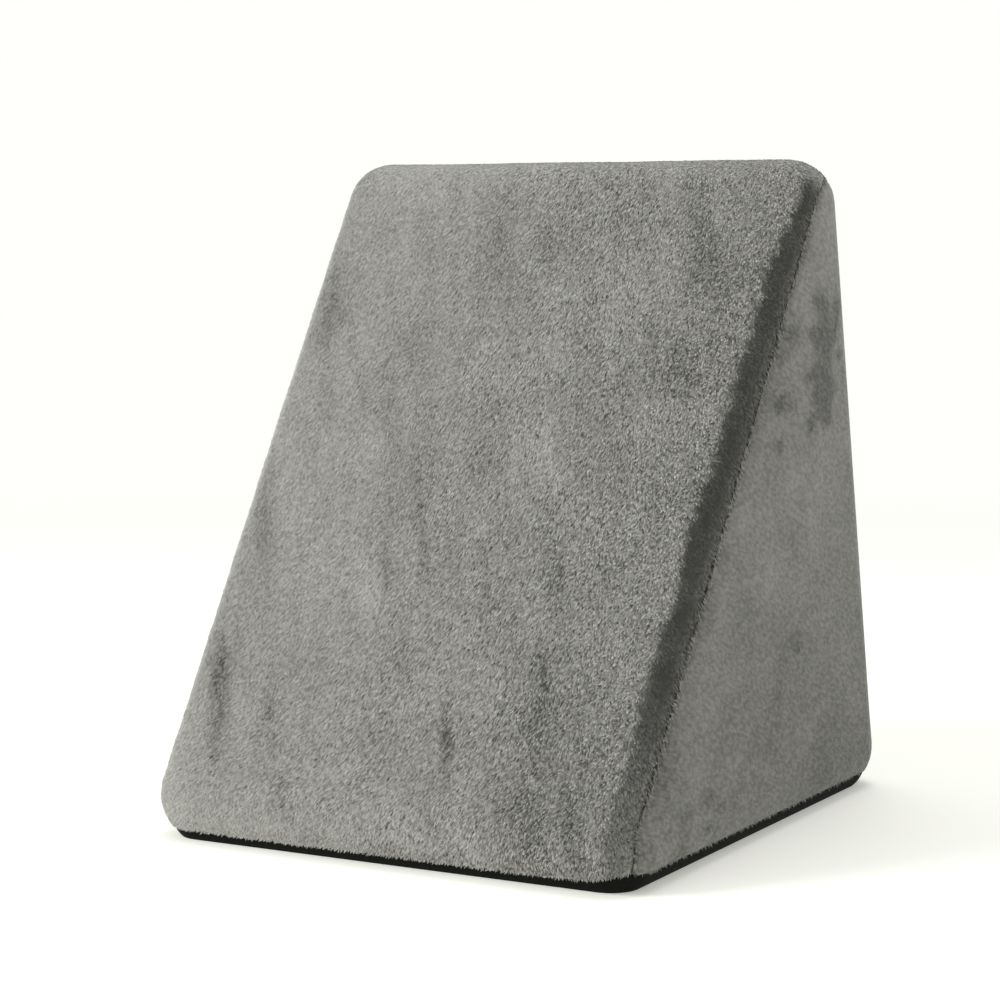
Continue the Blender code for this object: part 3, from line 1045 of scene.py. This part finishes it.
def fray_seam(side, count, seed):
    """Short hairs that start in the velour and cross the seam, pointing up the slope."""
    chance = np.random.default_rng(seed)
    along = np.sort(chance.uniform(0.004, PANEL_LENGTH - 0.004, count))
    across = side * (seam_across(along) + chance.uniform(0.0002, 0.0045, count))
    turn = side * (2.2 + chance.normal(0, 0.22, count))
    length = chance.uniform(0.0022, 0.0048, count)
    half = chance.uniform(0.0002, 0.0004, count)
    rise = chance.uniform(0.0001, 0.0002, count)
    tone = 0.92 + chance.normal(0, 0.16, count)
    readings = {"nap": side_nap(side, *skin(along, across)[:, 1:].T), "seam": np.zeros(count)}
    tufts = lay_tufts("seam_hairs_" + ("left" if side < 0 else "right"), along, across, turn, length,
                      half, rise, tone, VELOUR, readings, 0.0002, 0.05)


def fray_hem(side, count, seed):
    """Short hairs that hang over the lower edge of the velour."""
    chance = np.random.default_rng(seed)
    legs = np.array([0.0, PANEL_LENGTH])
    flat_edge = flat_at(legs) + ROUND * math.pi / 2
    ends = even_skin(legs, side * flat_edge)
    way = np.sort(chance.uniform(0, 1, count))[:, None]
    roots = ends[0] * (1 - way) + ends[1] * way
    turning = chance.uniform(seam_across(legs[0]) + 0.001, flat_edge[0], count // 12)
    roots = np.concatenate([even_skin(0 * turning, side * turning), roots])
    count = len(roots)
    roots[:, 2] += chance.uniform(0.0008, 0.0026, count)
    hang = chance.uniform(0.0012, 0.0036, count)
    half = chance.uniform(0.0006, 0.0015, count)
    corners = []
    # Columns: share of the half width, share of the length, how far out
    for beside, down, out in ((-1, 0, 0.0002), (0, 1, 0.0004), (1, 0, 0.0002), (0, -0.2, 0.0003)):
        corner = roots.copy()
        corner[:, 0] += side * out
        corner[:, 1] += beside * half + down * chance.normal(0, 0.0004, count)
        corner[:, 2] -= down * hang
        corners.append(draw_up(corner))
    points = np.stack(corners, axis=1)
    first = np.arange(count)[:, None] * 4
    faces = np.concatenate([first + [0, 1, 3], first + [1, 2, 3]], axis=0).tolist()
    tone = np.repeat(0.78 + chance.normal(0, 0.10, count)[:, None], 4, axis=1)
    hairs = make_piece("hem_hairs_" + ("left" if side < 0 else "right"), points, faces, VELOUR,
                       {"tone": tone, "nap": side_nap(side, points[..., 1], points[..., 2]),
                        "seam": np.zeros(tone.shape)}, points[..., 1:])
    hairs.data.shade_flat()
    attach(hairs, "root")


for fray_side in (-1, 1):
    fray_seam(fray_side, 3200, 111 + fray_side)
    fray_hem(fray_side, 480, 121 + fray_side)

# %% [markdown]
# The foot is closed by a black cloth. Its edge turns up a few millimetres to the plush hem and
# shows as a thin black line, so it is a tray-shaped sheet, with Solidify for its thickness.

# %% Build the base cloth
BASE_THICKNESS = 0.002
CORNER_STEPS = 16
BASE_ROWS = 8


def build_base():
    radius = ROUND - BASE_STEP
    loops = []
    for dip in np.linspace(FLOOR_DIP, HEM_DIP + 0.0006 / radius, BASE_ROWS):
        reach = radius * math.cos(dip) + FOOT_FULLNESS * (dip - HEM_DIP) / (FLOOR_DIP - HEM_DIP)
        loop = []
        for quarter, (way_x, way_y) in enumerate(((1, 1), (-1, 1), (-1, -1), (1, -1))):
            turn = math.pi / 2 * (quarter + np.linspace(0, 1, CORNER_STEPS + 1))
            x = way_x * half_flat(FOOT_CENTRE_Z) + reach * np.cos(turn)
            y = way_y * BACK_FOOT[0] + reach * np.sin(turn)
            loop.append(np.stack([x, y, np.full(x.shape, FOOT_CENTRE_Z - radius * math.sin(dip))], axis=-1))
        loops.append(np.concatenate(loop + [loop[0][:1]]))
    points = np.array(loops)
    points = draw_up(points, weight=(points[..., 2] / HEM_Z).clip(0, 1))
    rows, columns = points.shape[:2]
    faces = grid_faces(rows, columns)
    faces.append(list(range(columns - 2, -1, -1)))
    base = make_piece("base_cloth", points, faces, BASE_CLOTH, {}, points[..., :2])
    work = bmesh.new()
    work.from_mesh(base.data)
    bmesh.ops.remove_doubles(work, verts=work.verts, dist=0.00001)
    bmesh.ops.recalc_face_normals(work, faces=work.faces)
    lowest = min(work.faces, key=lambda face: face.calc_center_median().z)
    if lowest.normal.z > 0:
        bmesh.ops.reverse_faces(work, faces=work.faces)
    work.to_mesh(base.data)
    work.free()
    shell = base.modifiers.new("cloth thickness", "SOLIDIFY")
    shell.thickness = BASE_THICKNESS
    shell.offset = -1
    return base


base = build_base()
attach(base, "root")
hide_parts("base_panel")
print("base cloth faces:", len(base.data.polygons))
